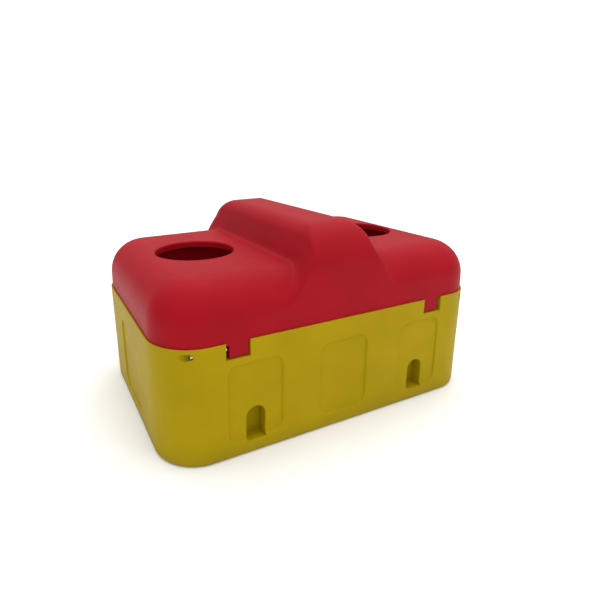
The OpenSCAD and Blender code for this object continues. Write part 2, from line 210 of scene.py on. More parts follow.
def rotomouldedPolyethylene(name, look):
    # LLDPE powder melted in a turning mould: waxy and softly glossy, with a shallow
    # orange peel from the mould's blasted face and faint cloudiness in the pigment
    material, tree, output, place = newMaterial(name)
    cloudNoise = addNode(tree, "ShaderNodeTexNoise", {"Scale": 1000 / look["cloudMm"], "Detail": 3.0},
                         {"Vector": place})
    cloud = addNode(tree, "ShaderNodeMapRange", {"From Min": 0.35, "From Max": 0.65},
                    {"Value": cloudNoise.outputs[0]})
    pigment = addNode(tree, "ShaderNodeMix",
                      {"data_type": "RGBA", 6: hexLinear(look["colour"]), 7: hexLinear(look["cloudColour"])},
                      {"Factor": cloud.outputs[0]})
    # powder grains that melted last stay a shade lighter
    grainNoise = addNode(tree, "ShaderNodeTexNoise", {"Scale": 1000 / look["grainMm"], "Detail": 1.0},
                         {"Vector": place})
    speck = addNode(tree, "ShaderNodeMapRange", {"From Min": 0.4, "From Max": 0.75, "To Max": look["grain"]},
                    {"Value": grainNoise.outputs[0]})
    speckled = addNode(tree, "ShaderNodeMix", {"data_type": "RGBA", 7: hexLinear(look["grainColour"])},
                       {"Factor": speck.outputs[0], 6: pigment.outputs[2]})
    # splashed soil thins out upwards from the ground
    height = addNode(tree, "ShaderNodeSeparateXYZ", {}, {"Vector": place})
    splash = addNode(tree, "ShaderNodeTexNoise", {"Scale": 1000 / 38, "Detail": 5.0, "Roughness": 0.65},
                     {"Vector": place})
    reach = addNode(tree, "ShaderNodeMath", {"operation": "MULTIPLY_ADD", 1: look["dirtReach"]},
                    {0: splash.outputs[0], 2: height.outputs["Z"]})
    thinning = {"From Min": look["dirtLow"], "From Max": look["dirtHigh"],
                "To Min": look["dirt"], "To Max": 0.0}
    soil = addNode(tree, "ShaderNodeMapRange", thinning, {"Value": reach.outputs[0]})
    base = addNode(tree, "ShaderNodeMix", {"data_type": "RGBA", 7: hexLinear(look["dirtColour"])},
                   {"Factor": soil.outputs[0], 6: speckled.outputs[2]})
    scuff = addNode(tree, "ShaderNodeTexNoise", {"Scale": 1000 / 9, "Detail": 4.0, "Distortion": 1.6},
                    {"Vector": place})
    gloss = addNode(tree, "ShaderNodeMapRange",
                    {"From Min": 0.35, "From Max": 0.7, "To Min": look["smooth"], "To Max": look["rough"]},
                    {"Value": scuff.outputs[0]})
    peelNoise = addNode(tree, "ShaderNodeTexNoise", {"Scale": 1000 / look["peelMm"], "Detail": 2.0},
                        {"Vector": place})
    peel = addNode(tree, "ShaderNodeBump", {"Strength": look["peel"], "Distance": 0.0006},
                   {"Height": peelNoise.outputs[0]})
    grain = addNode(tree, "ShaderNodeBump", {"Strength": look["peel"] * 0.6, "Distance": 0.0002},
                    {"Height": grainNoise.outputs[0], "Normal": peel.outputs[0]})
    shader = addNode(tree, "ShaderNodeBsdfPrincipled", {"IOR": 1.51, "Specular IOR Level": look["specular"]},
                     {"Base Color": base.outputs[2], "Roughness": gloss.outputs[0],
                      "Normal": grain.outputs[0]})
    tree.links.new(shader.outputs[0], output.inputs[0])
    return material


yellowLook = {
    "colour": "#a48c00", "cloudColour": "#9d8600", "cloudMm": 160,
    "grainMm": 1.6, "grain": 0.12, "grainColour": "#b8a11c",
    "peelMm": 5.0, "peel": 0.22, "smooth": 0.44, "rough": 0.54, "specular": 0.06,
    "dirt": 0.22, "dirtLow": 0.02, "dirtHigh": 0.085, "dirtReach": 0.05, "dirtColour": "#6f6227",
}
redLook = {
    "colour": "#9d0e1c", "cloudColour": "#950d19", "cloudMm": 140,
    "grainMm": 1.6, "grain": 0.12, "grainColour": "#b3202d",
    "peelMm": 5.0, "peel": 0.22, "smooth": 0.42, "rough": 0.52, "specular": 0.06,
    "dirt": 0.0, "dirtLow": 0.0, "dirtHigh": 0.01, "dirtReach": 0.0, "dirtColour": "#7c2024",
}
# a blown ball comes off a polished mould, so its peel is finer
ballLook = dict(redLook, peel=0.12, cloudMm=90, colour="#a5101c", cloudColour="#9c0e1a")

yellowShell = rotomouldedPolyethylene("yellow rotomoulded polyethylene", yellowLook)
redShell = rotomouldedPolyethylene("red rotomoulded polyethylene", redLook)
ballShell = rotomouldedPolyethylene("red polyethylene ball", ballLook)


def drawnMetal(name, look):
    # drawn or turned metal: fine lines along the work, slightly dulled by water
    material, tree, output, place = newMaterial(name)
    stretched = addNode(tree, "ShaderNodeMapping", {"Scale": look["stretch"]}, {"Vector": place})
    lines = addNode(tree, "ShaderNodeTexNoise", {"Scale": 1000 / look["lineMm"], "Detail": 3.0},
                    {"Vector": stretched.outputs[0]})
    stainNoise = addNode(tree, "ShaderNodeTexNoise",
                         {"Scale": 1000 / look["stainMm"], "Detail": 4.0, "Roughness": 0.6},
                         {"Vector": place})
    stain = addNode(tree, "ShaderNodeMapRange", {"From Min": 0.45, "From Max": 0.7, "To Max": look["stain"]},
                    {"Value": stainNoise.outputs[0]})
    base = addNode(tree, "ShaderNodeMix",
                   {"data_type": "RGBA", 6: hexLinear(look["colour"]), 7: hexLinear(look["stainColour"])},
                   {"Factor": stain.outputs[0]})
    gloss = addNode(tree, "ShaderNodeMapRange",
                    {"From Min": 0.3, "From Max": 0.7, "To Min": look["smooth"], "To Max": look["rough"]},
                    {"Value": lines.outputs[0]})
    bump = addNode(tree, "ShaderNodeBump", {"Strength": 0.2, "Distance": 0.0001},
                   {"Height": lines.outputs[0]})
    shader = addNode(tree, "ShaderNodeBsdfPrincipled", {"Metallic": 1.0},
                     {"Base Color": base.outputs[2], "Roughness": gloss.outputs[0],
                      "Normal": bump.outputs[0]})
    tree.links.new(shader.outputs[0], output.inputs[0])
    return material


def mouldedDull(name, look):
    # a solid that shows no layers: mottled colour and a fine grain from its mould
    material, tree, output, place = newMaterial(name)
    cloudNoise = addNode(tree, "ShaderNodeTexNoise", {"Scale": 1000 / look["cloudMm"], "Detail": 3.0},
                         {"Vector": place})
    cloud = addNode(tree, "ShaderNodeMapRange", {"From Min": 0.35, "From Max": 0.65},
                    {"Value": cloudNoise.outputs[0]})
    base = addNode(tree, "ShaderNodeMix",
                   {"data_type": "RGBA", 6: hexLinear(look["colour"]), 7: hexLinear(look["cloudColour"])},
                   {"Factor": cloud.outputs[0]})
    gloss = addNode(tree, "ShaderNodeMapRange",
                    {"From Min": 0.35, "From Max": 0.65, "To Min": look["smooth"], "To Max": look["rough"]},
                    {"Value": cloudNoise.outputs[0]})
    grain = addNode(tree, "ShaderNodeTexNoise", {"Scale": 1000 / look["grainMm"], "Detail": 3.0},
                    {"Vector": place})
    bump = addNode(tree, "ShaderNodeBump", {"Strength": look["grain"], "Distance": 0.0003},
                   {"Height": grain.outputs[0]})
    shader = addNode(tree, "ShaderNodeBsdfPrincipled", {"IOR": look["ior"]},
                     {"Base Color": base.outputs[2], "Roughness": gloss.outputs[0],
                      "Normal": bump.outputs[0]})
    tree.links.new(shader.outputs[0], output.inputs[0])
    return material


# cold drawn round bar: lengthwise lines and a cool grey sheen
stainless = drawnMetal("drawn stainless steel", {
    "colour": "#c3c7ca", "stainColour": "#9a9c99", "stain": 0.35, "stainMm": 14,
    "lineMm": 1.2, "stretch": (0.05, 1.0, 1.0), "smooth": 0.22, "rough": 0.38})
# brass turned on a lathe: warm, with rings left by the tool and brown water stains
brass = drawnMetal("turned brass", {
    "colour": "#c79a4b", "stainColour": "#7d6236", "stain": 0.5, "stainMm": 9,
    "lineMm": 1.0, "stretch": (1.0, 0.08, 1.0), "smooth": 0.26, "rough": 0.42})
# rubber pressed in a mould: near black and matt
rubber = mouldedDull("pressed EPDM rubber", {
    "colour": "#1c1e1f", "cloudColour": "#242627", "cloudMm": 18, "smooth": 0.6, "rough": 0.75,
    "grain": 0.3, "grainMm": 0.9, "ior": 1.52})
# injection moulded: black with a low sheen
blackPlastic = mouldedDull("moulded black polypropylene", {
    "colour": "#222426", "cloudColour": "#2a2c2e", "cloudMm": 25, "smooth": 0.42, "rough": 0.55,
    "grain": 0.2, "grainMm": 0.8, "ior": 1.49})
# machined from bar: milky and slippery looking
whitePlastic = mouldedDull("machined white acetal", {
    "colour": "#e4e1d6", "cloudColour": "#dcd8ca", "cloudMm": 22, "smooth": 0.32, "rough": 0.45,
    "grain": 0.12, "grainMm": 0.7, "ior": 1.48})
# foamed in place: straw coloured, with open cells that kill all gloss
foam = mouldedDull("poured polyurethane foam", {
    "colour": "#dcc98c", "cloudColour": "#cdb673", "cloudMm": 30, "smooth": 0.8, "rough": 0.95,
    "grain": 0.8, "grainMm": 1.5, "ior": 1.45})
print("materials made")

# the trough body

trough = {
    "cornerX": 435, "cornerY": 250, "rimRadius": 140, "draft": 4, "height": 360, "foot": 12,
    "deck": 352, "lip": ((136.6, 360), (135.9, 359.8), (135.5, 359.2)), "rimRound": 2.0,
    "panelX": 302, "panelHalf": 87, "sidePanelHalf": 110, "panelLow": 48, "panelHigh": 290,
    "panelCorner": 32, "panelDepth": 5, "lipOut": 1.5, "lipIn": 3.2,
    "pocketHalf": 30, "pocketFloor": 42, "pocketSpring": 116, "pocketBack": 340, "pocketRound": 3.0,
    "anchorY": 364, "pocketMargin": 38, "mouthMargin": 30, "drainMargin": 54,
    "notchIn": 319, "notchOut": 391.5, "notchFloor": 311, "notchBack": 358, "notchRound": 2.0,
    "pinY": 373, "pinZ": 338, "boreRadius": 6.1, "boreEnd": 305, "mouthX": 480, "mouthRadius": 9.5,
    "mouthRound": 1.5, "drainRound": 3.0, "boreSides": 48, "drainSides": 72,
    "drainZ": 118, "drainRadius": 46, "drainSeat": 545, "drainBore": 29,
}
quarterTurn = trough["rimRadius"] * math.pi / 2
longRun = 2 * trough["cornerX"]
shortRun = 2 * trough["cornerY"]
sideStarts = [0, longRun, longRun + quarterTurn, longRun + quarterTurn + shortRun]
backStart = longRun + 2 * quarterTurn + shortRun
sideStarts += [backStart, backStart + longRun, backStart + longRun + quarterTurn]
sideStarts.append(sideStarts[-1] + shortRun)
wholeRun = sideStarts[-1] + quarterTurn
frontMid, backMid = longRun / 2, backStart + longRun / 2
rightMid = sideStarts[2] + shortRun / 2
leftMid = sideStarts[6] + shortRun / 2


def around(s):
    # axis point and outward direction at a distance s along the rim, from the front left corner
    cx, cy = trough["cornerX"], trough["cornerY"]
    s = s % wholeRun
    turn = trough["rimRadius"]
    if s <= sideStarts[1]:
        return (s - cx, -cy), (0, -1)
    if s <= sideStarts[2]:
        a = (s - sideStarts[1]) / turn - math.pi / 2
        return (cx, -cy), (math.cos(a), math.sin(a))
    if s <= sideStarts[3]:
        return (cx, s - sideStarts[2] - cy), (1, 0)
    if s <= sideStarts[4]:
        a = (s - sideStarts[3]) / turn
        return (cx, cy), (math.cos(a), math.sin(a))
    if s <= sideStarts[5]:
        return (cx - (s - sideStarts[4]), cy), (0, 1)
    if s <= sideStarts[6]:
        a = (s - sideStarts[5]) / turn + math.pi / 2
        return (-cx, cy), (math.cos(a), math.sin(a))
    if s <= sideStarts[7]:
        return (-cx, cy - (s - sideStarts[6])), (-1, 0)
    a = (s - sideStarts[7]) / turn + math.pi
    return (-cx, -cy), (math.cos(a), math.sin(a))


def outFrom(s, radius, z):
    (ax, ay), (nx, ny) = around(s)
    return (ax + nx * radius, ay + ny * radius, z)


def wallRadius(z):
    return trough["rimRadius"] - trough["draft"] * (1 - z / trough["height"])


panels = [(frontMid + k * trough["panelX"], trough["panelHalf"]) for k in (-1, 0, 1)]
panels += [(backMid + k * trough["panelX"], trough["panelHalf"]) for k in (-1, 0, 1)]
panels += [(rightMid, trough["sidePanelHalf"]), (leftMid, trough["sidePanelHalf"])]


def boxDistance(u, v, halfU, halfV, corner):
    du, dv = abs(u) - halfU + corner, abs(v) - halfV + corner
    return math.hypot(max(du, 0), max(dv, 0)) + min(max(du, dv), 0) - corner


def lipShape(distance):
    t = (trough["lipOut"] - distance) / (trough["lipOut"] + trough["lipIn"])
    t = min(1, max(0, t))
    return t * t * (3 - 2 * t)


def mouthDrop(distance, radius):
    # rounded edge where a recess breaks through the wall
    if distance >= radius:
        return 0
    distance = max(distance, 0)
    return radius - math.sqrt(max(0, radius * radius - (radius - distance) ** 2))


def pocketDistance(u, z):
    half, spring, low = trough["pocketHalf"], trough["pocketSpring"], trough["pocketFloor"]
    if z >= spring:
        return math.hypot(u, z - spring) - half
    return boxDistance(u, z - spring, half, spring - low, 2.0) if z < spring - 5 else abs(u) - half


pockets = [frontMid - trough["panelX"], frontMid + trough["panelX"],
           backMid - trough["panelX"], backMid + trough["panelX"]]
notches = []
for middle in (frontMid, backMid):
    notches.append((middle - trough["notchOut"], middle - trough["notchIn"]))
    notches.append((middle + trough["notchIn"], middle + trough["notchOut"]))
mouthTurn = math.acos((trough["pinY"] - trough["cornerY"]) / wallRadius(trough["pinZ"])) * trough["rimRadius"]
mouths = [(longRun, 1), (wholeRun, -1), (backStart, -1), (backStart + longRun, 1)]


def notchDistance(s, z):
    best = 1e9
    for low, high in notches:
        du = max(low - s, s - high)
        dv = trough["notchFloor"] - z
        best = min(best, math.hypot(max(du, 0), max(dv, 0)) + min(max(du, dv), 0))
    return best


def mouthDistance(s, z):
    best = 1e9
    for end, way in mouths:
        turn = (s - end) * way / trough["rimRadius"]
        if -0.05 < turn < 1.2:
            y = trough["cornerY"] + wallRadius(z) * math.cos(turn)
            best = min(best, math.hypot(y - trough["pinY"], z - trough["pinZ"]) - trough["mouthRadius"])
    return best


def wallDepth(s, z):
    middleZ = (trough["panelLow"] + trough["panelHigh"]) / 2
    halfZ = (trough["panelHigh"] - trough["panelLow"]) / 2
    depth = 0
    for middle, half in panels:
        if abs(s - middle) < half + 6:
            d = boxDistance(s - middle, z - middleZ, half, halfZ, trough["panelCorner"])
            depth = trough["panelDepth"] * lipShape(d)
    for middle in pockets:
        if abs(s - middle) < 45 and z < 160:
            depth += mouthDrop(pocketDistance(s - middle, z), trough["pocketRound"])
    if z > 300:
        depth += mouthDrop(notchDistance(s, z), trough["notchRound"])
        depth += mouthDrop(mouthDistance(s, z), trough["mouthRound"])
    if abs(s - rightMid) < 60:
        d = math.hypot(s - rightMid, z - trough["drainZ"]) - trough["drainRadius"]
        depth += mouthDrop(d, trough["drainRound"])
    return depth


def skin(s, z):
    return outFrom(s, wallRadius(z) - wallDepth(s, z), z)


lipSteps = [1.5, 1.0, 0.5, 0.0, -0.45, -0.9, -1.4, -1.9, -2.5, -3.2]
roundSteps = [1.0, 0.62, 0.34, 0.14, 0.03, 0.0]


def aroundPanel(middle, half):
    marks = []
    for side in (-1, 1):
        marks += [middle + side * (half + d) for d in lipSteps]
        marks += [middle + side * (half - 4 - 2.4 * k) for k in range(12)]
    return marks


def mouthSpan(end, way):
    middle = end + way * mouthTurn
    return middle - trough["mouthMargin"], middle + trough["mouthMargin"]


def pocketSpan(middle):
    return middle - trough["pocketMargin"], middle + trough["pocketMargin"]


drainSpan = (rightMid - trough["drainMargin"], rightMid + trough["drainMargin"])


columnMarks = []
for middle, half in panels:
    columnMarks += aroundPanel(middle, half)
for low, high in notches:
    for t in roundSteps:
        columnMarks += [low - t * trough["notchRound"], high + t * trough["notchRound"]]
for middle in pockets:
    columnMarks += pocketSpan(middle)
for end, way in mouths:
    columnMarks += mouthSpan(end, way)
columnMarks += drainSpan
columns = []
for i, start in enumerate(sideStarts):
    end = (sideStarts + [wholeRun])[i + 1]
    step = 14 if i % 2 == 0 else 5.5
    columns += stops(start, end, step, columnMarks)[:-1]

pocketRows, drainRows, mouthRows = (32, 156), (62, 174), (323, 353)
rowMarks = [*pocketRows, *drainRows, *mouthRows]
for edge, way in ((trough["panelLow"], 1), (trough["panelHigh"], -1)):
    rowMarks += [edge - way * d for d in lipSteps]
    rowMarks += [edge + way * (4 + 2.4 * k) for k in range(12)]
rowMarks += [trough["notchFloor"] - t * trough["notchRound"] for t in roundSteps]
rows = stops(trough["foot"], trough["height"] - trough["rimRound"], 9, rowMarks)

cutBoxes = [(*pocketSpan(middle), *pocketRows) for middle in pockets]
cutBoxes += [(*mouthSpan(end, way), *mouthRows) for end, way in mouths]
cutBoxes.append((*drainSpan, *drainRows))


def cutAway(s, z):
    for low, high in notches:
        if low < s < high and z > trough["notchFloor"]:
            return True
    return any(a < s < b and c < z < d for a, b, c, d in cutBoxes)


body = Shape()
foot, rimRound = trough["foot"], trough["rimRound"]
grid = []
for s in columns:
    line = [outFrom(s, wallRadius(0) - foot + foot * math.sin(a), foot - foot * math.cos(a))
            for a in (math.radians(k * 15) for k in range(6))]
    line += [skin(s, z) for z in rows]
    top = wallRadius(rows[-1])
    for k in (1, 2, 3, 4):
        a = math.radians(k * 22.5)
        line.append(outFrom(s, top - rimRound * (1 - math.cos(a)), rows[-1] + rimRound * math.sin(a)))
    for radius, z in trough["lip"] + ((trough["lip"][-1][0], trough["deck"]),):
        line.append(outFrom(s, radius, z))
    grid.append(body.add(line))
heights = [foot * (k + 0.5) / 6 for k in range(6)] + list(rows) + [359] * 8
for i in range(len(columns)):
    k = (i + 1) % len(columns)
    middle = (columns[i] + (columns[k] if k else wholeRun)) / 2
    for j in range(len(grid[i]) - 1):
        if not cutAway(middle, (heights[j] + heights[j + 1]) / 2):
            body.faces.append((grid[i][j], grid[k][j], grid[k][j + 1], grid[i][j + 1]))


def patch(low, high, bottom, top, rings, hole, rowLines=(), columnLines=()):
    # closes a cut box with triangles that follow the rings round an opening
    low, high = (min(columns, key=lambda c: abs(c - v)) for v in (low, high))
    across = [c for c in columns if low - 1e-6 <= c <= high + 1e-6]
    up = [r for r in rows if bottom - 1e-6 <= r <= top + 1e-6]
    outer = [(c, bottom) for c in across] + [(high, r) for r in up[1:]]
    outer += [(c, top) for c in reversed(across[:-1])] + [(low, r) for r in reversed(up[1:-1])]
    lines = [[(low, r), (high, r)] for r in rowLines] + [[(c, bottom), (c, top)] for c in columnLines]
    flat, triangles = fillFlat(outer, rings, hole, lines)
    ids = body.add(skin(s, z) for s, z in flat)
    body.faces.extend(tuple(ids[i] for i in t) for t in triangles)


def pocketRing(middle, d):
    half, spring, low = trough["pocketHalf"] + d, trough["pocketSpring"], trough["pocketFloor"] - d
    r = 2.0 + d
    ring = arc((middle, spring), half, 0, 180, 40)
    ring += [(middle - half, spring - (spring - low - r) * k / 14) for k in range(1, 14)]
    ring += arc((middle - half + r, low + r), r, 180, 270, 5)
    ring += [(middle - half + r + (2 * half - 2 * r) * k / 12, low) for k in range(1, 12)]
    ring += arc((middle + half - r, low + r), r, 270, 360, 5)
    ring += [(middle + half, low + r + (spring - low - r) * k / 14) for k in range(1, 14)]
    return ring


for middle in pockets:
    rings = [pocketRing(middle, t * trough["pocketRound"]) for t in roundSteps]
    lipRows = [r for r in rows if 44 < r < 56]
    patch(*pocketSpan(middle), *pocketRows, rings, rings[-1], lipRows)
    mouth = [skin(s, z) for s, z in rings[-1]]
    facing = -1 if middle < longRun else 1
    back = facing * trough["pocketBack"]
    inner = pocketRing(middle, -3.0)
    walls = []
    for t in (0, 0.05, 0.2, 0.4, 0.6, 0.8, 0.94):
        walls.append([(p[0], p[1] + (back - p[1]) * t, p[2]) for p in mouth])
    for a in (30, 60, 90):
        push = 3.0 * (1 - math.cos(math.radians(a)))
        ring = []
        for p, (u, v) in zip(mouth, inner):
            q = outFrom(u, 0, v)
            ring.append((p[0] + (q[0] - p[0]) * push / 3, back + facing * 3 * (1 - math.sin(math.radians(a))),
                         p[2] + (q[2] - p[2]) * push / 3))
        walls.append(ring)
    ids = body.loops(walls)
    body.faces.append(tuple(ids[-1]))


def mouthRing(end, way, d):
    ring = []
    for k in range(trough["boreSides"]):
        a = 2 * math.pi * k / trough["boreSides"]
        y = trough["pinY"] + (trough["mouthRadius"] + d) * math.cos(a)
        z = trough["pinZ"] + (trough["mouthRadius"] + d) * math.sin(a)
        turn = math.acos((y - trough["cornerY"]) / wallRadius(z))
        ring.append((end + way * turn * trough["rimRadius"], z))
    return ring


def circleAt(x, y, z, radius, count=trough["boreSides"]):
    # ring round an axis along X
    turns = [2 * math.pi * k / count for k in range(count)]
    return [(x, y + radius * math.cos(a), z + radius * math.sin(a)) for a in turns]


for end, way in mouths:
    low, high = mouthSpan(end, way)
    rings = [mouthRing(end, way, t * trough["mouthRound"]) for t in roundSteps]
    patch(low, high, *mouthRows, rings, rings[-1], (), [c for c in columns if low + 0.01 < c < high - 0.01])
    mouth = [skin(s, z) for s, z in rings[-1]]
    sx = 1 if mouth[0][0] > 0 else -1
    sy = 1 if mouth[0][1] > 0 else -1
    seat = [(sx * trough["mouthX"], p[1], p[2]) for p in mouth]
    bore = []
    for x in (trough["mouthX"], trough["notchOut"]):
        ring = []
        for p in mouth:
            y, z = p[1] - sy * trough["pinY"], p[2] - trough["pinZ"]
            r = math.hypot(y, z)
            ring.append((sx * x, sy * trough["pinY"] + y / r * trough["boreRadius"],
                         trough["pinZ"] + z / r * trough["boreRadius"]))
        bore.append(ring)
    body.loops([mouth, seat] + bore)

# drain recess
drainRings = []
for t in roundSteps:
    radius, sides = trough["drainRadius"] + t * trough["drainRound"], trough["drainSides"]
    drainRings.append([(rightMid + radius * math.cos(2 * math.pi * k / sides),
                        trough["drainZ"] + radius * math.sin(2 * math.pi * k / sides)) for k in range(sides)])
patch(*drainSpan, *drainRows, drainRings, drainRings[-1])
mouth = [skin(s, z) for s, z in drainRings[-1]]
seatX, seatRound = trough["drainSeat"], 2
body.loops([mouth, [(seatX + seatRound, p[1], p[2]) for p in mouth],
            circleAt(seatX, 0, trough["drainZ"], trough["drainRadius"] - seatRound, sides),
            circleAt(seatX, 0, trough["drainZ"], trough["drainBore"], sides)])

# rim notches
for sx in (-1, 1):
    for sy in (-1, 1):
        low, deck = trough["notchFloor"], trough["deck"]
        xs = (trough["notchIn"], trough["notchOut"])
        faceLow, faceHigh = [trough["cornerY"] + wallRadius(z) - trough["notchRound"] for z in (low, 358)]
        backY = trough["notchBack"]
        corners = [(backY, low), (faceLow, low), (faceHigh, 358), (388.0, 360), (386.6, 360), (385.5, 359.2),
                   (385.5, deck), (backY, deck)]
        bore = [p[1:] for p in circleAt(0, trough["pinY"], trough["pinZ"], trough["boreRadius"])]
        for x in xs:
            flat, triangles = fillFlat(corners, [bore], bore)
            ids = body.add((sx * x, sy * y, z) for y, z in flat)
            body.faces.extend(tuple(ids[i] for i in t) for t in triangles)
        for a, b in (((backY, low), (faceLow, low)), ((backY, low), (backY, deck))):
            body.loops([[(sx * x, sy * y, z) for x in xs] for y, z in (a, b)], False)
        # the blind bore that takes the pin's tip
        blind = [[(sx * x, sy * y, z) for y, z in bore] for x in (trough["notchIn"], trough["boreEnd"])]
        body.faces.append(tuple(body.loops(blind)[-1]))

bm = body.mesh()


def innerBody(centre, normal, points):
    x, y, z = centre
    if z < 0.05:
        return True
    if z < 13.2 and math.hypot(x, abs(y) - 280) < 26.3:
        return True
    if z < 90 and math.hypot(x, y - 88) < 34.4:
        return True
    if z < 41.9 and math.hypot(abs(x) - trough["panelX"], abs(y) - trough["anchorY"]) < 7.3:
        return True
    if 89 < z < trough["deck"] + 0.1:
        inWell = math.hypot(abs(x) - 334, y) < 165.6
        inBay = abs(x) < 200.4 and abs(y) < 140.4
        return inWell or inBay or z > trough["deck"] - 0.1
    return False


keepCadFaces(bm, "base_shell", innerBody)
tidyMesh(bm)
makePiece("trough_body", bm, yellowShell, "trough", 38, ["base_shell"])
print("trough body made,", len(columns), "columns")

# the lid

lid = {
    "footZ": 352.3, "footRadius": 135, "edgeZ": 411, "edgeRadius": 134, "round": 115, "top": 526,
    "ridgeTop": 640, "crest": 46, "shoulder": 60, "flank": 70, "ridgeRound": 120,
    "cornerSoft": 74, "valley": 18, "valleyFade": 125,
    "holeX": 334, "holeRadius": 130, "lipRound": 6, "throatFoot": 504, "boxHalf": 150,
    "tabIn": 321, "tabOut": 381, "tabFoot": 314, "tabBack": 361.3, "tabFace": 385, "tabRound": 2.5,
    "tabBore": 6.5,
}


def ridgeHeight(x):
    # flanks run down straight under the lid's top, so the valley can be blended anywhere
    x = abs(x)
    rise, lean = lid["shoulder"], math.radians(lid["flank"])
    centreZ = lid["ridgeTop"] - rise
    if x <= lid["crest"]:
        return lid["ridgeTop"]
    tangentX = lid["crest"] + rise * math.sin(lean)
    if x <= tangentX:
        return centreZ + math.sqrt(rise * rise - (x - lid["crest"]) ** 2)
    return centreZ + rise * math.cos(lean) - (x - tangentX) * math.tan(lean)


def rolled(high, radius, q):
    # height of a long edge rolled over with a radius, at a distance q in from the face
    if q >= radius:
        return high
    return high - radius + math.sqrt(max(0, radius * radius - (radius - q) ** 2))


def softMin(a, b, k):
    if k <= 0 or abs(a - b) >= k:
        return min(a, b)
    return min(a, b) - (k - abs(a - b)) ** 2 / (4 * k)


def lidHeight(x, q):
    deck = rolled(lid["top"], lid["round"], q)
    if abs(x) > lid["holeX"] - lid["boxHalf"]:
        return deck
    flank, end = ridgeHeight(x), rolled(lid["ridgeTop"], lid["ridgeRound"], q)
    drop = lid["ridgeTop"] - min(flank, end)
    ridge = softMin(flank, end, lid["cornerSoft"] * min(1, max(0, drop / 60)))
    fade = max(0, 1 - q / lid["round"])
    return -softMin(-deck, -ridge, lid["valley"] + lid["valleyFade"] * fade * fade)


insets = [0, 0.45, 1.75, 3.9, 6.9, 10.8, 15.4, 20.8, 26.9, 33.7, 41.1, 49, 57.5, 66.3, 75.7, 85, 95, 105, 115]
lidMarks = [lid["holeX"] - lid["boxHalf"], lid["tabIn"], lid["tabOut"]]
lidMarks += [lid["tabIn"] + 1.25, lid["tabIn"] + 2.5, lid["tabOut"] - 2.5, lid["tabOut"] - 1.25]
lidXs, run, last = [0], 0, (0, lidHeight(0, 200))
for step in range(1, 10 * int(lid["holeX"] - lid["boxHalf"]) + 1):
    here = (step / 10, lidHeight(step / 10, 200))
    run += math.dist(here, last)
    last = here
    limit = 3.6 if 112 < here[0] < 172 else 5
    if run > 5.5 or here[0] - lidXs[-1] > limit:
        lidXs.append(here[0])
        run = 0
if lid["holeX"] - lid["boxHalf"] - lidXs[-1] < 2:
    lidXs.pop()
lidXs += stops(lid["holeX"] - lid["boxHalf"], trough["cornerX"], 12, lidMarks)
lidXs = [-x for x in reversed(lidXs[1:])] + lidXs
lidYs = stops(-trough["cornerY"], trough["cornerY"], 12.5, [-lid["boxHalf"], lid["boxHalf"]])

lidShape = Shape()
lidColumns = [x + trough["cornerX"] for x in lidXs[:-1]]
cornerStep = [quarterTurn * k / 20 for k in range(20)]
lidColumns += [sideStarts[1] + c for c in cornerStep]
lidColumns += [sideStarts[2] + y + trough["cornerY"] for y in lidYs[:-1]]
lidColumns += [sideStarts[3] + c for c in cornerStep]
lidColumns += [backStart + trough["cornerX"] + x for x in lidXs[:-1]]
lidColumns += [sideStarts[5] + c for c in cornerStep]
lidColumns += [sideStarts[6] + y + trough["cornerY"] for y in lidYs[:-1]]
lidColumns += [sideStarts[7] + c for c in cornerStep]


def lidHigh(s, q):
    (ax, ay), (nx, ny) = around(s)
    return lidHeight(ax, q) if abs(ny) > 0.999 else rolled(lid["top"], lid["round"], q)


def lidHole(x, y):
    half = lid["boxHalf"]
    return abs(abs(x) - lid["holeX"]) < half and abs(y) < half


lidGrid = []
for s in lidColumns:
    line = []
    face = lidHigh(s, 0)
    for k in range(17):
        t = k / 16
        z = lid["footZ"] + (face - lid["footZ"]) * t
        taper = (z - lid["footZ"]) / (lid["edgeZ"] - lid["footZ"])
        radius = max(lid["edgeRadius"], lid["footRadius"] - taper)
        line.append(outFrom(s, radius, z))
    for q in insets[1:]:
        line.append(outFrom(s, lid["edgeRadius"] - q, lidHigh(s, q)))
    lidGrid.append(lidShape.add(line))
for i in range(len(lidColumns)):
    k = (i + 1) % len(lidColumns)
    for j in range(len(lidGrid[i]) - 1):
        face = (lidGrid[i][j], lidGrid[k][j], lidGrid[k][j + 1], lidGrid[i][j + 1])
        middle = sum((Vector(lidShape.points[v]) for v in face), Vector()) / 4
        if middle.z < 500 or not lidHole(middle.x, middle.y):
            lidShape.faces.append(face)

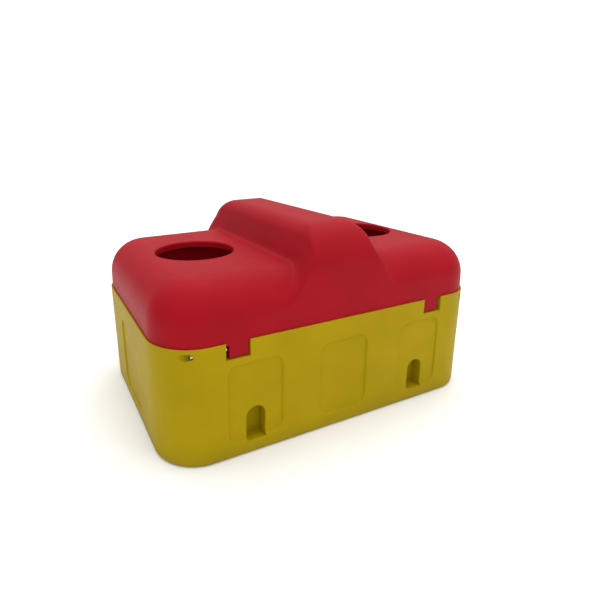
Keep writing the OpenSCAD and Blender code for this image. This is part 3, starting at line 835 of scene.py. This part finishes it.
innerY = trough["cornerY"] + lid["edgeRadius"] - lid["round"]
innerX = trough["cornerX"] + lid["edgeRadius"] - lid["round"]
flatYs = [-innerY] + lidYs + [innerY]
outerY = trough["cornerY"] + lid["edgeRadius"]
topIds = [lidShape.add((x, y, lidHeight(x, outerY - abs(y))) for y in flatYs) for x in lidXs]
for i in range(len(lidXs) - 1):
    for j in range(len(flatYs) - 1):
        if not lidHole((lidXs[i] + lidXs[i + 1]) / 2, (flatYs[j] + flatYs[j + 1]) / 2):
            lidShape.faces.append((topIds[i][j], topIds[i + 1][j], topIds[i + 1][j + 1], topIds[i][j + 1]))
for side in (-1, 1):
    band = [lidShape.add((side * x, y, lid["top"]) for y in lidYs) for x in (trough["cornerX"], innerX)]
    for j in range(len(lidYs) - 1):
        if not lidHole((trough["cornerX"] + innerX) / 2, (lidYs[j] + lidYs[j + 1]) / 2):
            lidShape.faces.append((band[0][j], band[1][j], band[1][j + 1], band[0][j + 1]))
    for way in (-1, 1):
        radius = lid["edgeRadius"] - lid["round"]
        fan = [(side * (trough["cornerX"] + radius * math.cos(c / trough["rimRadius"])),
                way * (trough["cornerY"] + radius * math.sin(c / trough["rimRadius"])), lid["top"])
               for c in cornerStep + [quarterTurn]]
        tip = lidShape.add([(side * trough["cornerX"], way * trough["cornerY"], lid["top"])])[0]
        ids = lidShape.add(fan)
        lidShape.faces.extend((tip, a, b) for a, b in zip(ids, ids[1:]))


def lidSurface(x, y):
    q = trough["cornerX"] + lid["edgeRadius"] - abs(x)
    return rolled(lid["top"], lid["round"], q)


for side in (-1, 1):
    half, cx = lid["boxHalf"], side * lid["holeX"]
    xs = sorted({round(abs(x), 3) for x, y, z in lidShape.points
                 if abs(abs(x) - lid["holeX"]) <= half + 0.01 and abs(abs(y) - half) < 0.01 and z > 500})
    ys = [y for y in lidYs if -half <= y <= half]
    rim = [(side * x, -half) for x in xs] + [(side * xs[-1], y) for y in ys[1:-1]]
    rim += [(side * x, half) for x in reversed(xs)] + [(side * xs[0], y) for y in reversed(ys[1:-1])]
    mouth = lid["holeRadius"] + lid["lipRound"]
    rings = []
    for t in (0, 0.3, 0.55, 0.75, 0.88, 0.96, 1):
        ring = []
        for x, y in rim:
            a = math.atan2(y, x - cx)
            px, py = cx + mouth * math.cos(a), mouth * math.sin(a)
            qx, qy = x + (px - x) * t, y + (py - y) * t
            ring.append((qx, qy, lidSurface(qx, qy)))
        rings.append(ring)
    for a in (15, 30, 45, 60, 75, 90):
        drop = lid["lipRound"] * (1 - math.cos(math.radians(a)))
        radius = mouth - lid["lipRound"] * math.sin(math.radians(a))
        shrink = radius / mouth
        rings.append([(cx + (x - cx) * shrink, y * shrink, z - drop) for x, y, z in rings[6]])
    for z in (514, 508, lid["throatFoot"]):
        rings.append([(p[0], p[1], z) for p in rings[-1]])
    lidShape.loops(rings)

# locking tabs
tabRound = lid["tabRound"]
tabXs = [x for x in lidXs if lid["tabIn"] - 0.01 <= x <= lid["tabOut"] + 0.01]
pinHole = [p[1:] for p in circleAt(0, trough["pinY"], trough["pinZ"], lid["tabBore"], 40)]
for sx in (-1, 1):
    for sy in (-1, 1):
        low, face, back = lid["tabFoot"], lid["tabFace"], lid["tabBack"]
        section = [(face, lid["footZ"]), (face, 346), (face, 336), (face, 326), (face, low + tabRound)]
        section += arc((face - tabRound, low + tabRound), tabRound, 0, -90, 4)[1:]
        section.append((back + tabRound, low))
        section += arc((back + tabRound, low + tabRound), tabRound, 270, 180, 4)[1:]
        section += [(back, 330), (back, lid["footZ"])]
        middle = (lid["tabIn"] + lid["tabOut"]) / 2
        rings = []
        for x in tabXs:
            edge = max(0.0, abs(x - middle) - (lid["tabOut"] - middle - tabRound))
            pull = tabRound - math.sqrt(max(0.0, tabRound ** 2 - edge ** 2))
            ring = []
            for y, z in section:
                inY = pull if y > (face + back) / 2 else -pull
                ring.append((sx * x, sy * (y - inY), z + (pull if z < low + tabRound else 0)))
            rings.append(ring)
        ids = lidShape.loops(rings, False)
        for x, ring in ((tabXs[0], rings[0]), (tabXs[-1], rings[-1])):
            outline = [(abs(p[1]), p[2]) for p in ring]
            flat, triangles = fillFlat(outline, [pinHole], pinHole)
            capIds = lidShape.add((sx * x, sy * y, z) for y, z in flat)
            lidShape.faces.extend(tuple(capIds[i] for i in t) for t in triangles)
        lidShape.loops([[(sx * x, sy * y, z) for y, z in pinHole] for x in (lid["tabIn"], lid["tabOut"])])

bm = lidShape.mesh()


def innerLid(centre, normal, points):
    x, y, z = centre
    q = min(trough["cornerX"] + 135 - abs(x), trough["cornerY"] + 135 - abs(y))
    if abs(z - lid["footZ"]) < 0.05:
        return True
    if z < 356.5 and z > lid["footZ"] and q > 8 and abs(y) < 384 and not abs(x) < 27 * (abs(y + 230) < 27):
        return math.hypot(x, y + 230) > 27
    if math.hypot(x, y + 230) < 26.3 and z < 364.4:
        return True
    r = math.hypot(abs(x) - lid["holeX"], y)
    reach = 168.4 if z < 470 else 168.4 - (z - 470) * 0.6
    if r < reach + (2 if z > 470 else 0) and lid["footZ"] < z < 504.2:
        return r > 130.2 or z < 503.8
    if abs(x) < 200.4 and abs(y) < 140.4 and lid["footZ"] < z < 468.4:
        return True
    return abs(x) < 72.4 and abs(y) < 118.4 and 468 < z < 588.4


keepCadFaces(bm, "lid_shell", innerLid)
tidyMesh(bm)
makePiece("lid_cover", bm, redShell, "lid", 38, ["lid_shell"])
print("lid made,", len(lidColumns), "columns")

# the float balls

ball = {"radius": 145, "centreZ": 235.3, "seamHalf": 2.2, "seamSink": 0.9}
for name, cadName, cx, bodyName in (("ball_left", "float_ball_left", -lid["holeX"], "ball_left"),
                                    ("ball_right", "float_ball_right", lid["holeX"], "ball_right")):
    ballShape = Shape()
    levels = stops(-90, 90, 3.5, [-1.6, -0.9, -0.5, 0, 0.5, 0.9, 1.6], 0.2)
    rings = []
    for level in levels[1:-1]:
        a = math.radians(level)
        # the two mould halves leave a narrow flat where the flash was trimmed
        offset = abs(a) * ball["radius"]
        sink = ball["seamSink"] * max(0.0, 1 - offset / ball["seamHalf"])
        r = ball["radius"] - sink
        rings.append([(cx + r * math.cos(a) * math.cos(2 * math.pi * k / 96),
                       r * math.cos(a) * math.sin(2 * math.pi * k / 96),
                       ball["centreZ"] + r * math.sin(a)) for k in range(96)])
    ids = ballShape.loops(rings)
    for ring, z in ((ids[0], -1), (ids[-1], 1)):
        tip = ballShape.add([(cx, 0, ball["centreZ"] + z * ball["radius"])])[0]
        ballShape.faces.extend((tip, a, b) for a, b in zip(ring, ring[1:] + ring[:1]))
    makePiece(name, ballShape.mesh(), ballShell, bodyName, 50, [cadName])
print("balls made")

# CAD nodes that keep their shape

finishes = {
    "yellow_shell": yellowShell, "red_shell": redShell, "ball": ballShell, "foam": foam,
    "black_plastic": blackPlastic, "white_plastic": whitePlastic, "rubber": rubber,
    "brass": brass, "stainless": stainless,
}
for entry in frame["record"]["subparts"]:
    node = nodes[entry["node"]]
    node.data.materials.clear()
    node.data.materials.append(finishes[entry["material_slot"]])
    if node.name in ("base_shell", "lid_shell", "float_ball_left", "float_ball_right"):
        continue
    node.data.polygons.foreach_set("use_smooth", [True] * len(node.data.polygons))
    node.data.set_sharp_from_angle(angle=math.radians(35))
print("CAD nodes finished")

# floor, light and camera

stage = {"floorSize": 30, "floorColour": "#fafaf9", "floorCloud": "#f4f4f3", "skyColour": "#ffffff",
         "skyStrength": 1.6, "sideStrength": 0.26, "backdrop": 1.0}
bpy.context.scene.view_settings.view_transform = "Standard"
floorMesh = bpy.data.meshes.new("pale floor")
half = stage["floorSize"] / 2
floorCorners = [(-half, -half, 0), (half, -half, 0), (half, half, 0), (-half, half, 0)]
floorMesh.from_pydata(floorCorners, [], [(0, 1, 2, 3)])
floorMaterial, tree, output, place = newMaterial("pale studio floor")
floorNoise = addNode(tree, "ShaderNodeTexNoise", {"Scale": 1000 / 300, "Detail": 3.0}, {"Vector": place})
floorColours = {"data_type": "RGBA", 6: hexLinear(stage["floorColour"]), 7: hexLinear(stage["floorCloud"])}
floorBase = addNode(tree, "ShaderNodeMix", floorColours, {"Factor": floorNoise.outputs[0]})
floorShader = addNode(tree, "ShaderNodeBsdfPrincipled", {"Roughness": 0.9, "Specular IOR Level": 0.2},
                      {"Base Color": floorBase.outputs[2]})
tree.links.new(floorShader.outputs[0], output.inputs[0])
floorMesh.materials.append(floorMaterial)
floor = bpy.data.objects.new("floor", floorMesh)
bpy.context.scene.collection.objects.link(floor)

world = bpy.data.worlds.new("overcast sky")
bpy.context.scene.world = world
world.use_nodes = True
tree = world.node_tree
background = tree.nodes["Background"]
background.inputs["Color"].default_value = hexLinear(stage["skyColour"])
# the dome lights from above and fades to the sides; what stands behind the trough stays white
skyPlace = addNode(tree, "ShaderNodeTexCoord").outputs["Generated"]
direction = addNode(tree, "ShaderNodeSeparateXYZ", {}, {"Vector": skyPlace})
fade = {"From Min": 0.0, "From Max": 0.9, "To Min": stage["sideStrength"], "To Max": stage["skyStrength"]}
dome = addNode(tree, "ShaderNodeMapRange", fade, {"Value": direction.outputs["Z"]})
seen = addNode(tree, "ShaderNodeMix", {"data_type": "FLOAT", 3: stage["backdrop"]},
               {"Factor": addNode(tree, "ShaderNodeLightPath").outputs["Is Camera Ray"], 2: dome.outputs[0]})
tree.links.new(seen.outputs[0], background.inputs["Strength"])


def addSoftbox(name, place, target, size, power, colour):
    data = bpy.data.lights.new(name, "AREA")
    data.shape = "RECTANGLE"
    data.size, data.size_y = size
    data.energy = power
    data.color = hexLinear(colour)[:3]
    lamp = bpy.data.objects.new(name, data)
    bpy.context.scene.collection.objects.link(lamp)
    lamp.location = place
    lamp.rotation_euler = (Vector(target) - Vector(place)).to_track_quat("-Z", "Y").to_euler()
    return lamp


addSoftbox("overhead softbox", (0.5, 0.3, 3.6), (0, 0, 0.4), (3.8, 3.0), 36, "#ffffff")
addSoftbox("front fill", (1.8, -3.6, 2.4), (0, 0, 0.3), (2.4, 2.0), 16, "#fffdf8")

view = {"place": (-0.8225, -1.439, 0.9041), "turn": -25.68, "rise": 14.38, "roll": -0.93,
        "lens": 27.93, "shiftX": 0.084, "shiftY": -0.081}
cameraData = bpy.data.cameras.new("camera")
cameraData.lens = view["lens"]
cameraData.sensor_width = 36
cameraData.shift_x = view["shiftX"]
cameraData.shift_y = view["shiftY"]
cameraData.clip_end = 100
camera = bpy.data.objects.new("camera", cameraData)
bpy.context.scene.collection.objects.link(camera)
turn, rise, roll = (math.radians(view[k]) for k in ("turn", "rise", "roll"))
back = Vector((math.sin(turn) * math.cos(rise), -math.cos(turn) * math.cos(rise), math.sin(rise)))
right = Vector((math.cos(turn), math.sin(turn), 0))
up = back.cross(right)
rolledRight = right * math.cos(roll) + up * math.sin(roll)
rolledUp = up * math.cos(roll) - right * math.sin(roll)
camera.matrix_world = Matrix((
    (rolledRight.x, rolledUp.x, back.x, view["place"][0]),
    (rolledRight.y, rolledUp.y, back.y, view["place"][1]),
    (rolledRight.z, rolledUp.z, back.z, view["place"][2]),
    (0, 0, 0, 1)))
bpy.context.scene.camera = camera
print("stage and camera set")
